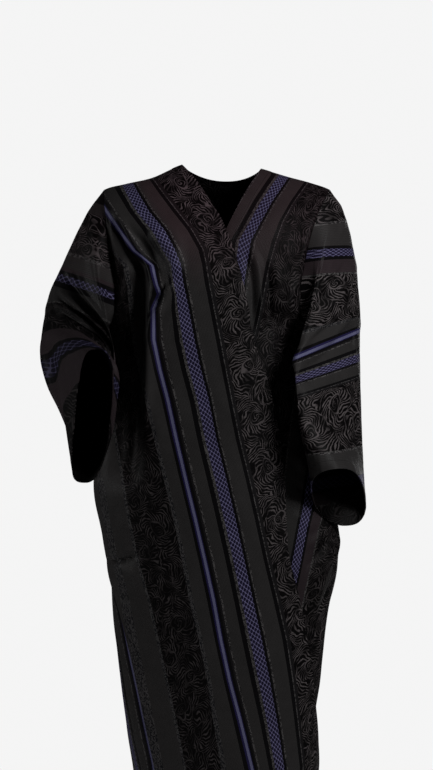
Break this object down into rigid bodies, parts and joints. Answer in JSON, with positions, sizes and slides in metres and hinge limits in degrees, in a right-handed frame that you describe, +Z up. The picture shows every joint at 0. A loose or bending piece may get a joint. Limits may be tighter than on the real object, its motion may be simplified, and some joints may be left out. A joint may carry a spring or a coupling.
{
  "type": "abaya",
  "caption": "Wide wrap abaya in near-black striped jacquard, in its worn form, with crossed fronts, wide sleeves and side slits.",
  "frame": {"origin": "in the open neck, midway between the sides of the worn garment's shoulders, level with the shoulder seam at the neck, where the wearer's shoulders hold it up", "axes": "+Z up, the front faces -Y, the wearer's right side is at -X"},
  "size_m": [0.6468, 0.4035, 1.4367],
  "materials": {
    "right_front_cloth": "striped jacquard with a soft sheen",
    "left_front_cloth": "striped jacquard with a soft sheen",
    "back_cloth": "striped jacquard with a soft sheen",
    "right_sleeve_cloth": "striped jacquard with a soft sheen",
    "left_sleeve_cloth": "striped jacquard with a soft sheen"
  },
  "bodies": {
    "root": {"right_front": "right_front_cloth", "left_front": "left_front_cloth", "back": "back_cloth", "right_sleeve": "right_sleeve_cloth", "left_sleeve": "left_sleeve_cloth"}
  },
  "joints": []
}
